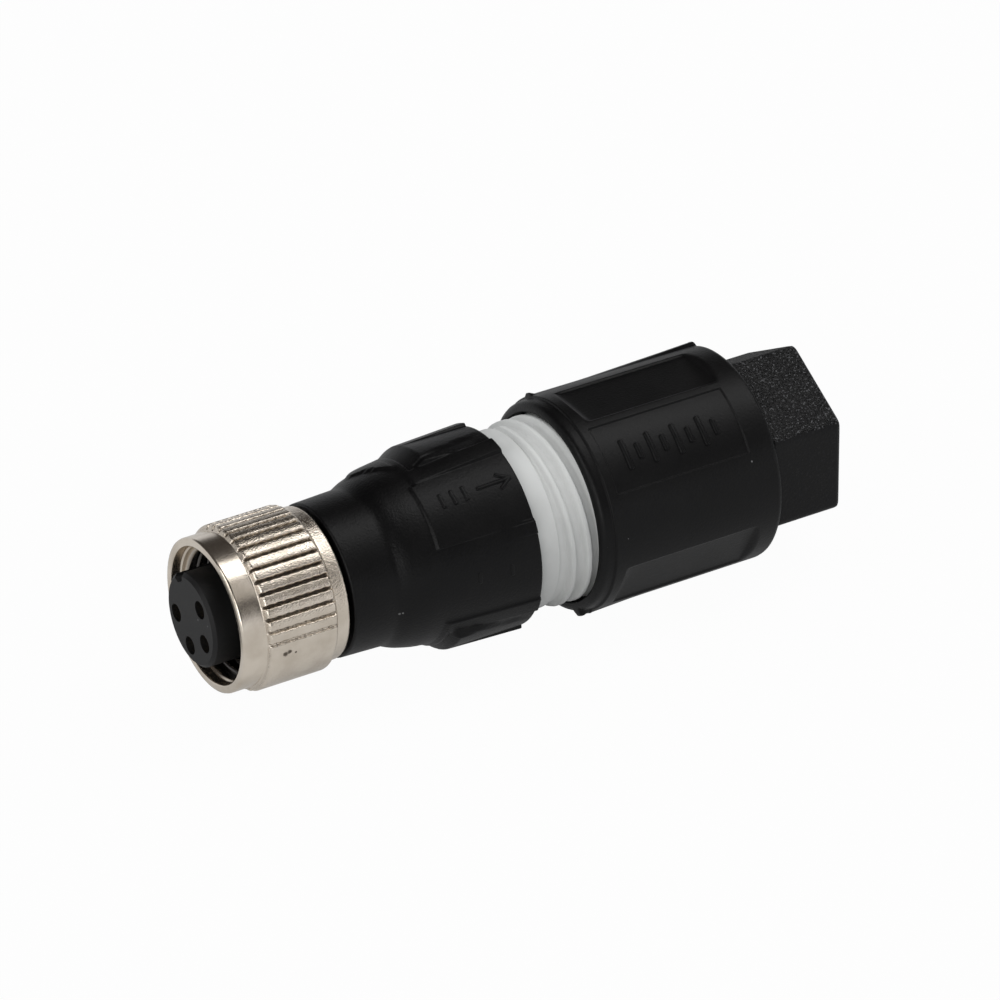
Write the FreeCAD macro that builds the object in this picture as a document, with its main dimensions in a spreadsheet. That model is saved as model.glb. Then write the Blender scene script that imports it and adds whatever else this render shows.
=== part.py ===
import FreeCAD, Part
import Sketcher
import os
import re

# Field-wired sensor connector, socket side, lying on its side.
# The axis is X: the mating end is at x = 0 and the cable end points to +X.
# Every piece is drawn with its key or ridge upwards (+Z) and is then rolled about X.

doc = FreeCAD.newDocument("SensorConnector")

# Driving sizes, in millimetres and degrees
sizes = {
    # whole connector
    "roll": -31.5,
    "turning_gap": 0.06,
    "seat_gap": 0.03,
    # coupling nut
    "nut_length": 10.4,
    "nut_front_radius": 6.95,
    "nut_rear_radius": 6.9,
    "nut_edge": 0.25,
    "nut_mouth_radius": 6.2,
    "nut_mouth_depth": 1.1,
    "nut_thread_radius": 6.0,
    "nut_thread_lead": 0.2,
    "nut_flange_thickness": 1.7,
    "knurl_radius": 7.45,
    "knurl_begin": 2.2,
    "knurl_finish": 9.1,
    "knurl_end_slope": 0.28,
    "knurl_first": 92.5,
    "knurl_pitch": 9,
    "knurl_count": 14,
    "knurl_half_width": 0.27,
    "knurl_floor_radius": 7.0,
    # snap ring that keeps the nut on the body
    "clip_thickness": 0.6,
    "clip_outer_radius": 5.75,
    "clip_groove_depth": 0.35,
    "clip_groove_width": 0.66,
    "clip_nut_play": 0.15,
    "clip_opening": 2.2,
    # contact insert
    "insert_front": -1.4,
    "insert_radius": 4.25,
    "insert_chamfer": 0.3,
    "insert_seat": 12.0,
    "insert_flange_radius": 5.5,
    "insert_flange_thickness": 1.2,
    "insert_spigot_radius": 4.3,
    "contact_circle": 2.65,
    "contact_angle": 72,
    "entry_radius": 0.825,
    "entry_depth": 0.85,
    "key_floor": 3.45,
    "key_half_width": 0.78,
    "key_floor_half_width": 0.42,
    "key_corner": 3.9,
    "key_length": 6.5,
    # turned sockets
    "socket_radius": 0.84,
    "socket_bore_radius": 0.52,
    "socket_bore_depth": 7.0,
    "socket_mouth_radius": 0.68,
    "socket_mouth_depth": 0.2,
    "socket_waist_radius": 0.66,
    "socket_waist_start": 8.0,
    "socket_waist_end": 11.6,
    "socket_slit_width": 0.22,
    "socket_slit_length": 4.2,
    "tail_bore_radius": 0.42,
    "tail_bore_depth": 2.4,
    # stamped forks that cut through the wire insulation
    "fork_thickness": 0.5,
    "fork_tail_width": 0.6,
    "fork_tail_depth": 2.2,
    "fork_blade_start": 26.0,
    "fork_tip": 34.6,
    "fork_width": 2.1,
    "fork_tip_width": 1.5,
    "fork_tip_slope": 0.4,
    "fork_slot_width": 0.36,
    "fork_slot_length": 4.6,
    "fork_throat": 0.6,
    # front body
    "tube_front": 7.6,
    "tube_radius": 5.1,
    "neck_start": 10.8,
    "neck_front_radius": 6.95,
    "neck_chamfer": 0.2,
    "neck_end": 15.1,
    "neck_end_radius": 7.1,
    "shoulder_end": 16.2,
    "shoulder_radius": 7.6,
    "flare_end": 17.7,
    "flare_radius": 7.98,
    "cone_start": 19.6,
    "cone_start_radius": 8.2,
    "body_end": 28.2,
    "body_end_radius": 9.2,
    "body_rear_edge": 0.15,
    "body_bore_radius": 6.2,
    "body_bore_start": 14.6,
    "sleeve_seat_start": 22.0,
    "spigot_wall": 1.14,
    "wing_radius": 9.1,
    "wing_half_angle": 33.7,
    "upper_ramp_start": 20.1,
    "upper_ramp_end": 21.6,
    "lower_ramp_start": 20.0,
    "lower_ramp_end": 20.9,
    "crest_half_angle": 6.5,
    "crest_radius": 9.36,
    "rail_angle": 11,
    "rail_height": 0.2,
    "rail_ramp": 0.5,
    "panel_start": 19.0,
    "panel_angle": 45,
    "panel_front_radius": 8.28,
    "panel_rear_radius": 9.12,
    # ring seal round the insert
    "ring_seal_thickness": 1.2,
    # terminal block
    "block_end": 28.6,
    "block_chamfer": 0.4,
    "fork_slot_gap": 0.05,
    # light grey threaded sleeve
    "sleeve_radius": 8.2,
    "sleeve_plain_end": 30.55,
    "sleeve_end": 42.0,
    "sleeve_bore_radius": 6.23,
    "sleeve_chamfer": 0.4,
    "thread_core_radius": 8.0,
    "thread_height": 0.5,
    "thread_crest_half_width": 0.2,
    "thread_root_half_width": 0.52,
    "thread_root_sink": 0.1,
    "thread_lead": 3.2,
    "thread_start": 30.84,
    "thread_start_angle": 100,
    "thread_tail": 1.56,
    "thread_play": 0.15,
    # pressure nut
    "grip_front": 34.1,
    "grip_wall": 1.2,
    "grip_face_drop": 0.75,
    "grip_shoulder_drop": 0.3,
    "grip_shoulder_depth": 0.3,
    "grip_collar_drop": 0.2,
    "grip_collar_length": 1.2,
    "grip_collar_slope": 0.2,
    "grip_rear": 52.5,
    "grip_rear_depth": 0.4,
    "grip_mouth_chamfer": 0.15,
    "scoop_start": 36.7,
    "scoop_end": 49.9,
    "scoop_angle": 31,
    "scoop_half_width": 2.7,
    "scoop_depth": 0.55,
    "scoop_rise": 1.0,
    "scoop_wall_angle": 40,
    "label_start": 36.25,
    "label_end": 49.8,
    "label_angle": 38,
    "label_depth": 0.16,
    "hex_flats": 15.0,
    "hex_length": 7.0,
    "hex_corner_round": 0.6,
    "hex_end_chamfer": 0.35,
    "hex_neck_drop": 0.25,
    "hex_neck_length": 0.6,
    "inner_thread_start": 36.44,
    "inner_thread_length": 3.2,
    "inner_thread_tip_half_width": 0.17,
    "inner_thread_root_half_width": 0.46,
    "snap_rib_start": 46.6,
    "snap_rib_length": 0.6,
    "snap_rib_height": 0.45,
    "thrust_face": 49.6,
    "cone_mouth_radius": 7.2,
    "cone_waist": 52.0,
    "cone_waist_radius": 6.4,
    "cone_end": 55.3,
    "cone_end_radius": 6.05,
    "cable_bore_radius": 4.0,
    "cable_bore_chamfer": 0.5,
    # wire guide, seal, clamping cage and slip ring, which travel with the nut
    "guide_front": 35.0,
    "guide_play": 0.1,
    "guide_floor": 43.0,
    "guide_rear": 47.6,
    "guide_cup_radius": 5.25,
    "guide_slot_width": 2.5,
    "guide_slot_thickness": 0.9,
    "guide_slot_depth": 5.7,
    "wire_hole_radius": 0.9,
    "wire_hole_circle": 4.65,
    "wire_notch_width": 1.3,
    "wire_notch_depth": 1.8,
    "wire_notch_foot": 1.6,
    "seal_play": 0.05,
    "seal_end": 53.0,
    "seal_bore_radius": 3.0,
    "seal_lip_radius": 3.5,
    "seal_lip_width": 0.8,
    "seal_lip_slope": 0.4,
    "seal_lip_margin": 0.5,
    "seal_lips": 3,
    "cage_flange_play": 0.3,
    "cage_flange_thickness": 1.35,
    "cage_seal_play": 0.1,
    "cage_play": 0.2,
    "cage_end": 55.0,
    "cage_lip_start": 53.3,
    "cage_lip_radius": 4.4,
    "cage_slot_start": 50.4,
    "cage_slot_width": 1.0,
    "cage_fingers": 8,
    "slip_ring_thickness": 0.45,
    "slip_ring_play": 0.15,
}

# Sizes that follow from the ones above
threadCrest = "( thread_core_radius + thread_height )"
spigotRadius = "( sleeve_bore_radius + spigot_wall )"
sleeveSeat = "( sleeve_bore_radius + spigot_wall + seat_gap )"
gripBore = "( thread_core_radius + thread_height + thread_play )"
gripRadius = "( thread_core_radius + thread_height + thread_play + grip_wall )"
scoopFloor = "( thread_core_radius + thread_height + thread_play + grip_wall - scoop_depth )"
hexStart = "( grip_rear + hex_neck_length )"
hexEnd = "( grip_rear + hex_neck_length + hex_length )"
hexNeck = "( hex_flats / 2 - hex_neck_drop )"
hexCorner = "( hex_flats / 2 / cos(30) )"
guideRadius = "( sleeve_bore_radius - guide_play )"
sealRadius = "( guide_cup_radius - seal_play )"
cageBore = "( guide_cup_radius - seal_play + cage_seal_play )"
cageFlange = "( thread_core_radius + thread_height + thread_play - cage_flange_play )"
cageShoulder = "( cone_mouth_radius - cage_play )"
bodyInnerWall = "( cone_start_radius - 1 )"

sheet = doc.addObject("Spreadsheet::Sheet", "Sizes")
for row, (alias, value) in enumerate(sizes.items(), start=1):
    sheet.set("A{}".format(row), alias)
    sheet.set("B{}".format(row), str(value))
    sheet.setAlias("B{}".format(row), alias)
doc.recompute()


def of(text):
    """Turns words that name sizes into references to the spreadsheet."""
    return re.sub("[a-z_]+", lambda word: "Sizes." + word[0] if word[0] in sizes else word[0], text)


def newBody(label):
    body = doc.addObject("PartDesign::Body", label)
    body.Label = label
    body.Placement = FreeCAD.Placement(FreeCAD.Vector(), FreeCAD.Rotation(FreeCAD.Vector(1, 0, 0), -10))
    body.setExpression(".Placement.Rotation.Angle", of("roll"))
    return body


def originFeature(body, role):
    for feature in body.Origin.OriginFeatures:
        if feature.Role == role:
            return feature


def newSketch(body, name, role, offset=None):
    sketch = body.newObject("Sketcher::SketchObject", name)
    sketch.AttachmentSupport = (originFeature(body, role), [""])
    sketch.MapMode = "FlatFace"
    if offset:
        sketch.setExpression(".AttachmentOffset.Base.z", of(offset))
    return sketch


def bind(sketch, kind, vertex, value, expression):
    """Ties one coordinate of a vertex to an expression, measured from the sketch origin."""
    geometry, end = vertex
    index = sketch.addConstraint(Sketcher.Constraint(kind, -1, 1, geometry, end, value))
    sketch.setExpression("Constraints[{}]".format(index), of(expression))


def addLoop(sketch, corners):
    """Draws a closed loop of lines. Each corner is a pair of expressions."""
    first = sketch.GeometryCount
    count = len(corners)
    rough = [FreeCAD.Vector(20, 0, 0)]
    turn = FreeCAD.Rotation(FreeCAD.Vector(0, 0, 1), 360.0 / count)
    for step in range(count - 1):
        rough.append(turn.multVec(rough[-1]))
    for step in range(count):
        sketch.addGeometry(Part.LineSegment(rough[step], rough[(step + 1) % count]), False)
    for step in range(count):
        following = first + (step + 1) % count
        sketch.addConstraint(Sketcher.Constraint("Coincident", first + step, 2, following, 1))
    for step, (across, up) in enumerate(corners):
        bind(sketch, "DistanceX", (first + step, 1), rough[step].x, across)
        bind(sketch, "DistanceY", (first + step, 1), rough[step].y, up)


def addCircle(sketch, across, up, radius):
    centre = FreeCAD.Vector(20 + sketch.GeometryCount, 10, 0)
    circle = sketch.addGeometry(Part.Circle(centre, FreeCAD.Vector(0, 0, 1), 2), False)
    bind(sketch, "DistanceX", (circle, 3), centre.x, across)
    bind(sketch, "DistanceY", (circle, 3), centre.y, up)
    index = sketch.addConstraint(Sketcher.Constraint("Radius", circle, 2))
    sketch.setExpression("Constraints[{}]".format(index), of(radius))


def turned(sideways, outwards, angle):
    """The place of a point given sideways and outwards of a ray at this angle from +Y."""
    across = "( {1} ) * cos({2}) - ( {0} ) * sin({2})".format(sideways, outwards, angle)
    up = "( {1} ) * sin({2}) + ( {0} ) * cos({2})".format(sideways, outwards, angle)
    return across, up


def lean(sketch, angle):
    """Turns a sketch about X, so that its upward direction lies at this angle from +Y."""
    sketch.AttachmentOffset = FreeCAD.Placement(
        FreeCAD.Vector(), FreeCAD.Rotation(FreeCAD.Vector(1, 0, 0), 50))
    sketch.setExpression(".AttachmentOffset.Rotation.Angle", of(angle))


def turn(body, name, corners, start="", angle="360"):
    """Turns a profile about X, through an angle from its start. Corners are lengths along X and radii."""
    sketch = newSketch(body, name + "Profile", "XY_Plane")
    if start:
        lean(sketch, start)
    addLoop(sketch, corners)
    kind = "PartDesign::Groove" if name.endswith("Cut") else "PartDesign::Revolution"
    feature = body.newObject(kind, name)
    feature.Profile = sketch
    feature.ReferenceAxis = (sketch, ["H_Axis"])
    feature.setExpression("Angle", of(angle))
    return feature


def extrude(body, name, loops, start, end, circles=()):
    """Raises or cuts loops that lie across the axis, from start to end along X."""
    sketch = newSketch(body, name + "Profile", "YZ_Plane", start)
    for corners in loops:
        addLoop(sketch, corners)
    for across, up, radius in circles:
        addCircle(sketch, across, up, radius)
    cuts = name.endswith("Cut")
    feature = body.newObject("PartDesign::Pocket" if cuts else "PartDesign::Pad", name)
    feature.Profile = sketch
    feature.setExpression("Length", of("( {} ) - ( {} )".format(end, start)))
    feature.Reversed = cuts
    return feature


def repeat(body, name, original, occurrences, angle):
    pattern = body.newObject("PartDesign::PolarPattern", name)
    pattern.Originals = [original]
    pattern.Axis = (originFeature(body, "X_Axis"), [""])
    pattern.setExpression("Occurrences", of(occurrences))
    pattern.setExpression("Angle", of(angle))
    body.Tip = pattern
    return pattern


def helix(body, name, corners, height, startAngle):
    """A two-start thread ridge about X, from a profile in a plane turned to its start angle."""
    sketch = newSketch(body, name + "Profile", "XY_Plane")
    lean(sketch, startAngle)
    addLoop(sketch, corners)
    ridge = body.newObject("PartDesign::AdditiveHelix", name)
    ridge.Profile = sketch
    ridge.ReferenceAxis = (sketch, ["H_Axis"])
    ridge.Mode = 0
    ridge.setExpression("Pitch", of("thread_lead"))
    ridge.setExpression("Height", of(height))
    repeat(body, name + "Starts", ridge, "2", "360")
    return ridge


def soften(body, name, kind, size, chosen):
    """Rounds or chamfers the edges of the tip that a test picks out."""
    doc.recompute()
    base = body.Tip
    names = ["Edge{}".format(i + 1) for i, edge in enumerate(base.Shape.Edges) if chosen(edge)]
    feature = body.newObject("PartDesign::" + kind, name)
    feature.Base = (base, names)
    feature.setExpression("Radius" if kind == "Fillet" else "Size", of(size))
    body.Tip = feature
    return feature


def valueOf(text):
    """The present value of an expression of sizes."""
    return float(sheet.evalExpression(of(text)))


def contactAngle(number):
    return "90 + {} * contact_angle".format(number)


# Coupling nut: turned and knurled, with a rear flange that runs on the body's tube
nutBody = newBody("coupling_nut")
nutBoreFloor = "nut_length - nut_flange_thickness"
flangeBore = "tube_radius + turning_gap"
turn(nutBody, "NutBlank", [
    ("0", "nut_mouth_radius"),
    ("0", "nut_front_radius - nut_edge"),
    ("nut_edge", "nut_front_radius"),
    ("knurl_begin", "nut_front_radius"),
    ("knurl_begin + knurl_end_slope", "knurl_radius"),
    ("knurl_finish - knurl_end_slope", "knurl_radius"),
    ("knurl_finish", "nut_rear_radius"),
    ("nut_length - nut_edge", "nut_rear_radius"),
    ("nut_length", "nut_rear_radius - nut_edge"),
    ("nut_length", flangeBore),
    (nutBoreFloor, flangeBore),
    (nutBoreFloor, "nut_thread_radius"),
    ("nut_mouth_depth + nut_thread_lead", "nut_thread_radius"),
    ("nut_mouth_depth", "nut_mouth_radius"),
])
knurlLoops = []
for side in ("knurl_first", "knurl_first + 180"):
    knurlLoops.append([
        turned("0", "knurl_floor_radius", side),
        turned("knurl_half_width", "knurl_radius + 0.2", side),
        turned("0 - knurl_half_width", "knurl_radius + 0.2", side),
    ])
knurl = extrude(nutBody, "KnurlCut", knurlLoops, "knurl_begin", "knurl_finish")
repeat(nutBody, "Knurl", knurl, "knurl_count", "knurl_pitch * ( knurl_count - 1 )")

# Snap ring: an open spring ring in a groove of the body's tube
clipBody = newBody("nut_snap_ring")
clipRear = nutBoreFloor + " - clip_nut_play"
clipFront = clipRear + " - clip_thickness"
clipFloor = "tube_radius - clip_groove_depth"
turn(clipBody, "Ring", [
    (clipFront, clipFloor + " + seat_gap"),
    (clipFront, "clip_outer_radius"),
    (clipRear, "clip_outer_radius"),
    (clipRear, clipFloor + " + seat_gap"),
])
extrude(clipBody, "OpeningCut", [[
    ("0 - clip_opening / 2", "0 - clip_outer_radius - 1"),
    ("clip_opening / 2", "0 - clip_outer_radius - 1"),
    ("clip_opening / 2", "0 - clip_groove_depth"),
    ("0 - clip_opening / 2", "0 - clip_groove_depth"),
]], clipFront + " - 0.1", clipRear + " + 0.1")

# Contact insert: moulded round the key groove and the four contact holes
insertBody = newBody("contact_insert")
flangeEnd = "insert_seat + insert_flange_thickness"
insertEnd = "body_bore_start"
turn(insertBody, "InsertBlank", [
    ("insert_front", "0"),
    ("insert_front", "insert_radius - insert_chamfer"),
    ("insert_front + insert_chamfer", "insert_radius"),
    ("insert_seat", "insert_radius"),
    ("insert_seat", "insert_flange_radius"),
    (flangeEnd, "insert_flange_radius"),
    (flangeEnd, "insert_spigot_radius"),
    (insertEnd, "insert_spigot_radius"),
    (insertEnd, "0"),
])
holes = []
entries = []
for number in range(1, 5):
    across, up = turned("0", "contact_circle", contactAngle(number))
    entries.append((across, up, "entry_radius"))
    holes.append((across, up, "socket_radius + seat_gap"))
extrude(insertBody, "EntryCut", [], "insert_front", insertEnd, entries)
extrude(insertBody, "ContactHoleCut", [], "insert_front + entry_depth", insertEnd, holes)
extrude(insertBody, "KeyCut", [[
    ("0 - key_half_width", "insert_radius + 0.5"),
    ("0 - key_half_width", "key_corner"),
    ("0 - key_floor_half_width", "key_floor"),
    ("key_floor_half_width", "key_floor"),
    ("key_half_width", "key_corner"),
    ("key_half_width", "insert_radius + 0.5"),
]], "insert_front", "insert_front + key_length")


def placeAtContact(body, number):
    """Moves a piece from the X axis out to its contact place, with its +Z outwards."""
    angle = contactAngle(number) + " + roll"
    body.setExpression(".Placement.Base.y", of("contact_circle * cos({})".format(angle)))
    body.setExpression(".Placement.Base.z", of("contact_circle * sin({})".format(angle)))
    body.setExpression(".Placement.Rotation.Angle", of(angle + " - 90"))


# Sockets: turned, bored and slit at the mating end
socketFront = "insert_front + entry_depth + seat_gap"
for number in range(1, 5):
    body = newBody("socket_{}".format(number))
    placeAtContact(body, number)
    turn(body, "SocketBlank", [
        (socketFront, "socket_mouth_radius"),
        (socketFront, "socket_radius"),
        ("socket_waist_start", "socket_radius"),
        ("socket_waist_start", "socket_waist_radius"),
        ("socket_waist_end", "socket_waist_radius"),
        ("socket_waist_end", "socket_radius"),
        (insertEnd, "socket_radius"),
        (insertEnd, "tail_bore_radius"),
        (insertEnd + " - tail_bore_depth", "tail_bore_radius"),
        (insertEnd + " - tail_bore_depth", "0"),
        (socketFront + " + socket_bore_depth", "0"),
        (socketFront + " + socket_bore_depth", "socket_bore_radius"),
        (socketFront + " + socket_mouth_depth", "socket_bore_radius"),
    ])
    extrude(body, "SlitCut", [[
        ("0 - socket_radius - 0.1", "0 - socket_slit_width / 2"),
        ("socket_radius + 0.1", "0 - socket_slit_width / 2"),
        ("socket_radius + 0.1", "socket_slit_width / 2"),
        ("0 - socket_radius - 0.1", "socket_slit_width / 2"),
    ]], socketFront, socketFront + " + socket_slit_length")

# Forks: stamped from strip, their tails pressed into the sockets
forkStart = insertEnd + " - fork_tail_depth"
slotStart = "fork_tip - fork_slot_length"
for number in range(1, 5):
    body = newBody("fork_{}".format(number))
    placeAtContact(body, number)
    half = []
    half.append((forkStart, "fork_tail_width / 2"))
    half.append(("fork_blade_start", "fork_tail_width / 2"))
    half.append(("fork_blade_start", "fork_width / 2"))
    half.append(("fork_tip - fork_tip_slope", "fork_width / 2"))
    half.append(("fork_tip", "fork_tip_width / 2"))
    half.append(("fork_tip - fork_throat", "fork_slot_width / 2"))
    half.append((slotStart, "fork_slot_width / 2"))
    mirrored = [(along, "0 - " + side) for along, side in reversed(half)]
    sketch = newSketch(body, "ForkProfile", "XY_Plane")
    addLoop(sketch, half + mirrored)
    blade = body.newObject("PartDesign::Pad", "Fork")
    blade.Profile = sketch
    blade.setExpression("Length", of("fork_thickness"))
    blade.Midplane = True

# Ring seal between the insert and the body
sealBody = newBody("ring_seal")
sectionRadius = "( insert_flange_radius - insert_spigot_radius ) / 2"
sectionCorners = []
for step in range(8):
    sectionCorners.append((
        flangeEnd + " + ring_seal_thickness / 2 + ( " + sectionRadius + " ) * cos({})".format(45 * step + 22.5),
        "( insert_spigot_radius + insert_flange_radius + seat_gap ) / 2 + ( "
        + sectionRadius + " ) * sin({})".format(45 * step + 22.5)))
turn(sealBody, "Seal", sectionCorners)

# Front body: tube, neck, flare and barrel with two wings and a marking panel
frontBody = newBody("front_body")
turn(frontBody, "BodyBlank", [
    ("tube_front", "0"),
    ("tube_front", "tube_radius"),
    ("neck_start", "tube_radius"),
    ("neck_start", "neck_front_radius - neck_chamfer"),
    ("neck_start + neck_chamfer", "neck_front_radius"),
    ("neck_end", "neck_end_radius"),
    ("shoulder_end", "shoulder_radius"),
    ("flare_end", "flare_radius"),
    ("cone_start", "cone_start_radius"),
    ("body_end - body_rear_edge", "body_end_radius"),
    ("body_end", "body_end_radius - body_rear_edge"),
    ("body_end", "0"),
])
panelAt = "180 - panel_angle"
turn(frontBody, "Panel", [
    ("panel_start", bodyInnerWall),
    ("panel_start", "panel_front_radius"),
    ("body_end", "panel_rear_radius"),
    ("body_end", bodyInnerWall),
], panelAt, "panel_angle")
turn(frontBody, "PanelCut", [
    ("panel_start", "panel_front_radius"),
    ("panel_start", "wing_radius + 1"),
    ("body_end", "wing_radius + 1"),
    ("body_end", "panel_rear_radius"),
], panelAt, "panel_angle")
rearEdge = "body_end - body_rear_edge"
railRear = "body_end_radius + rail_height"
for side, middle, rampStart, rampEnd in (
        ("Upper", "90", "upper_ramp_start", "upper_ramp_end"),
        ("Lower", "270", "lower_ramp_start", "lower_ramp_end")):
    wingFrom = middle + " - wing_half_angle"
    turn(frontBody, side + "Wing", [
        (rampStart, bodyInnerWall),
        (rampStart, "cone_start_radius"),
        (rampEnd, "wing_radius"),
        ("body_end", "wing_radius"),
        ("body_end", bodyInnerWall),
    ], wingFrom, "2 * wing_half_angle")
    turn(frontBody, side + "WingCut", [
        (rampEnd, "wing_radius"),
        (rampEnd, "wing_radius + 1"),
        ("body_end", "wing_radius + 1"),
        ("body_end", "wing_radius"),
    ], wingFrom, "2 * wing_half_angle")
    turn(frontBody, side + "Crest", [
        (rampEnd, bodyInnerWall),
        (rampEnd, "wing_radius"),
        (rearEdge, "crest_radius"),
        ("body_end", "crest_radius - body_rear_edge"),
        ("body_end", bodyInnerWall),
    ], middle + " - crest_half_angle", "2 * crest_half_angle")
    for hand, railFrom in (("Left", wingFrom + " - rail_angle"), ("Right", middle + " + wing_half_angle")):
        turn(frontBody, side + hand + "Rail", [
            ("cone_start", bodyInnerWall),
            ("cone_start", "cone_start_radius"),
            ("cone_start + rail_ramp", "cone_start_radius + rail_height"),
            (rearEdge, railRear),
            ("body_end", railRear + " - body_rear_edge"),
            ("body_end", bodyInnerWall),
        ], railFrom, "rail_angle")
turn(frontBody, "BoreCut", [
    ("tube_front", "0"),
    ("tube_front", "insert_radius + seat_gap"),
    ("insert_seat", "insert_radius + seat_gap"),
    ("insert_seat", "insert_flange_radius + seat_gap"),
    ("body_bore_start", "insert_flange_radius + seat_gap"),
    ("body_bore_start", "body_bore_radius"),
    ("sleeve_seat_start", "body_bore_radius"),
    ("sleeve_seat_start", sleeveSeat),
    ("body_end", sleeveSeat),
    ("body_end", "0"),
])
turn(frontBody, "ClipGrooveCut", [
    (clipRear + " - clip_groove_width", clipFloor),
    (clipRear + " - clip_groove_width", "tube_radius + 0.1"),
    (clipRear + " + seat_gap", "tube_radius + 0.1"),
    (clipRear + " + seat_gap", clipFloor),
])

# Terminal block: carries the forks and closes the body behind the insert
blockBody = newBody("terminal_block")
blockStart = "body_bore_start + seat_gap"
blockRadius = "body_bore_radius - seat_gap"
turn(blockBody, "BlockBlank", [
    (blockStart, "0"),
    (blockStart, blockRadius),
    ("block_end - block_chamfer", blockRadius),
    ("block_end", blockRadius + " - block_chamfer"),
    ("block_end", "0"),
])


def slotLoops(width, thickness):
    """Rectangles at the four contact places, their long sides at right angles to the radius."""
    loops = []
    for number in range(1, 5):
        angle = contactAngle(number)
        inner = "contact_circle - ( {} ) / 2".format(thickness)
        outer = "contact_circle + ( {} ) / 2".format(thickness)
        half = "( {} ) / 2".format(width)
        loops.append([
            turned("0 - " + half, inner, angle),
            turned(half, inner, angle),
            turned(half, outer, angle),
            turned("0 - " + half, outer, angle),
        ])
    return loops


extrude(blockBody, "TailSlotCut",
        slotLoops("fork_tail_width + 2 * fork_slot_gap", "fork_thickness + 2 * fork_slot_gap"),
        blockStart, "block_end")
extrude(blockBody, "BladeSlotCut",
        slotLoops("fork_width + 2 * fork_slot_gap", "fork_thickness + 2 * fork_slot_gap"),
        "fork_blade_start - fork_slot_gap", "block_end")

# Threaded sleeve: pressed into the body, with a fast two-start thread outside
sleeveBody = newBody("threaded_sleeve")
turn(sleeveBody, "SleeveBlank", [
    ("sleeve_seat_start + seat_gap", "sleeve_bore_radius"),
    ("sleeve_seat_start + seat_gap", spigotRadius),
    ("body_end", spigotRadius),
    ("body_end", "sleeve_radius"),
    ("sleeve_plain_end", "sleeve_radius"),
    ("sleeve_plain_end", "thread_core_radius"),
    ("sleeve_end - sleeve_chamfer", "thread_core_radius"),
    ("sleeve_end", "thread_core_radius - sleeve_chamfer"),
    ("sleeve_end", "sleeve_bore_radius"),
])
helix(sleeveBody, "Thread", [
    ("thread_start - thread_root_half_width", "thread_core_radius - thread_root_sink"),
    ("thread_start + thread_root_half_width", "thread_core_radius - thread_root_sink"),
    ("thread_start + thread_crest_half_width", threadCrest),
    ("thread_start - thread_crest_half_width", threadCrest),
], "sleeve_end - thread_tail - thread_start", "thread_start_angle")

# Pressure nut: grip barrel with four scoops and a label panel, and a hexagon for the wrench
gripBody = newBody("pressure_nut")
turn(gripBody, "GripBlank", [
    ("grip_front", "0"),
    ("grip_front", gripRadius + " - grip_face_drop"),
    ("grip_front + grip_shoulder_depth", gripRadius + " - grip_shoulder_drop"),
    ("grip_front + grip_collar_length", gripRadius + " - grip_collar_drop"),
    ("grip_front + grip_collar_length + grip_collar_slope", gripRadius),
    ("grip_rear - grip_rear_depth", gripRadius),
    ("grip_rear", gripRadius + " - grip_rear_depth"),
    ("grip_rear", hexNeck),
    (hexStart, hexNeck),
    (hexStart, "0"),
])


def scoopSection(name, angle, height, reach):
    """A rectangle across a ray at this angle from +Z, at this height and grown by this reach."""
    sketch = newSketch(gripBody, name, "XY_Plane")
    lean(sketch, angle)
    sketch.setExpression(".AttachmentOffset.Base.y", of("0 - ( {} ) * sin({})".format(height, angle)))
    sketch.setExpression(".AttachmentOffset.Base.z", of("( {} ) * cos({})".format(height, angle)))
    addLoop(sketch, [
        ("scoop_start - " + reach, "0 - scoop_half_width - " + reach),
        ("scoop_end + " + reach, "0 - scoop_half_width - " + reach),
        ("scoop_end + " + reach, "scoop_half_width + " + reach),
        ("scoop_start - " + reach, "scoop_half_width + " + reach),
    ])
    return sketch


for name, angle in (("LeftScoops", "scoop_angle"), ("RightScoops", "0 - scoop_angle")):
    scoop = gripBody.newObject("PartDesign::SubtractiveLoft", name + "Cut")
    scoop.Profile = scoopSection(name + "Floor", angle, scoopFloor, "0")
    scoop.Sections = [scoopSection(
        name + "Mouth", angle, scoopFloor + " + scoop_rise", "scoop_rise * tan(scoop_wall_angle)")]
    scoop.Ruled = True
    gripBody.Tip = scoop
    repeat(gripBody, name, scoop, "2", "360")
turn(gripBody, "LabelCut", [
    ("label_start", gripRadius + " - label_depth"),
    ("label_end", gripRadius + " - label_depth"),
    ("label_end", gripRadius + " + grip_wall"),
    ("label_start", gripRadius + " + grip_wall"),
], "180 - label_angle", "label_angle")
hexCorners = []
for step in range(6):
    hexCorners.append(turned("0", hexCorner, str(60 * step)))
extrude(gripBody, "Hexagon", [hexCorners], hexStart, hexEnd)


def onHexCorner(edge):
    box = edge.BoundBox
    longEnough = box.XLength > 0.8 * valueOf("hex_length")
    return longEnough and box.XMax > valueOf(hexEnd) - 0.01


def onHexEnd(edge):
    return edge.BoundBox.XMin > valueOf(hexEnd) - 0.01


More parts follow.
